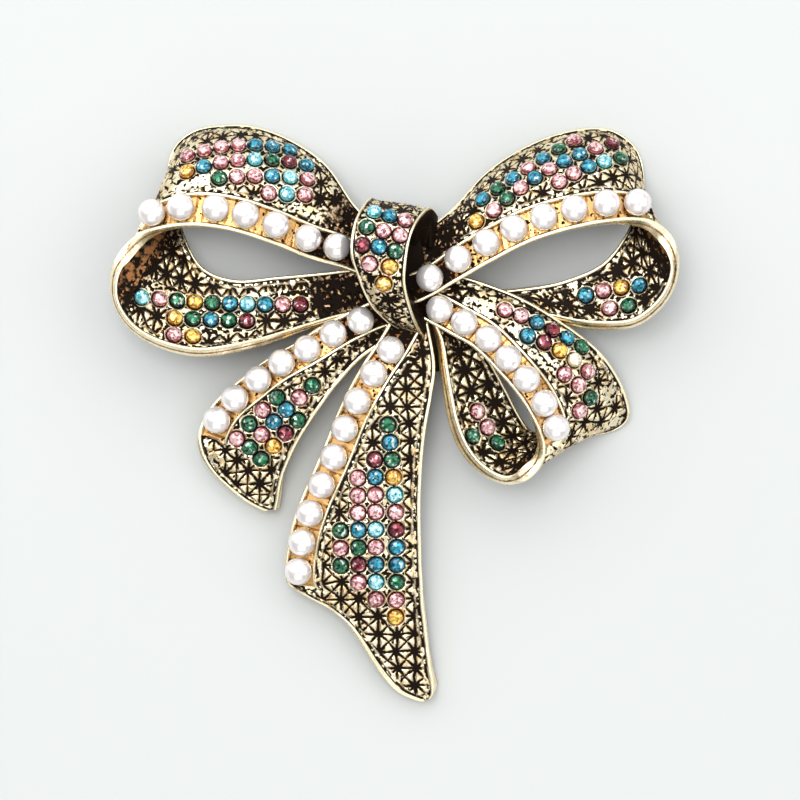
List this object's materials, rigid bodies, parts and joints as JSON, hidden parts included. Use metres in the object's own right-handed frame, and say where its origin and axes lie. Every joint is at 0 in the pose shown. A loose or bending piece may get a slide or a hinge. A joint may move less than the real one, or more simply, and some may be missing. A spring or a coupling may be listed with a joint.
{
  "type": "brooch",
  "caption": "Antique gold ribbon bow brooch with pearl strings along its loops and tails and fields of coloured cut stones, pin closed at the back",
  "frame": {"origin": "middle of the brooch's outline on the table it lies on", "axes": "X to the bow's right, Y up the bow, Z out of its face; the brooch lies on its back"},
  "size_m": [0.062, 0.0634, 0.0122],
  "materials": {
    "antique_gold": "cast alloy, pale gold rims over black antiqued relief",
    "pearl": "white pearl coating, glossy",
    "cut_stone": "foiled cut glass in blue, aqua, pink, wine, green, yellow and clear",
    "pin_metal": "plain plated pin, satin"
  },
  "bodies": {
    "root": {"bow_casting": "antique_gold", "pin_back": "pin_metal", "pearl_left_loop_1": "pearl", "pearl_left_loop_2": "pearl", "pearl_left_loop_3": "pearl", "pearl_left_loop_4": "pearl", "pearl_left_loop_5": "pearl", "pearl_left_loop_6": "pearl", "pearl_left_loop_7": "pearl", "pearl_right_loop_1": "pearl", "pearl_right_loop_2": "pearl", "pearl_right_loop_3": "pearl", "pearl_right_loop_4": "pearl", "pearl_right_loop_5": "pearl", "pearl_right_loop_6": "pearl", "pearl_right_loop_7": "pearl", "pearl_right_loop_8": "pearl", "pearl_lower_loop_1": "pearl", "pearl_lower_loop_2": "pearl", "pearl_lower_loop_3": "pearl", "pearl_lower_loop_4": "pearl", "pearl_lower_loop_5": "pearl", "pearl_lower_loop_6": "pearl", "pearl_lower_loop_7": "pearl", "pearl_left_tail_1": "pearl", "pearl_left_tail_2": "pearl", "pearl_left_tail_3": "pearl", "pearl_left_tail_4": "pearl", "pearl_left_tail_5": "pearl", "pearl_left_tail_6": "pearl", "pearl_left_tail_7": "pearl", "pearl_centre_tail_1": "pearl", "pearl_centre_tail_2": "pearl", "pearl_centre_tail_3": "pearl", "pearl_centre_tail_4": "pearl", "pearl_centre_tail_5": "pearl", "pearl_centre_tail_6": "pearl", "pearl_centre_tail_7": "pearl", "pearl_centre_tail_8": "pearl", "pearl_centre_tail_9": "pearl", "stones_left_loop": "cut_stone", "stones_right_loop": "cut_stone", "stones_lower_loop": "cut_stone", "stones_left_tail": "cut_stone", "stones_centre_tail": "cut_stone", "stones_knot": "cut_stone"}
  },
  "joints": []
}
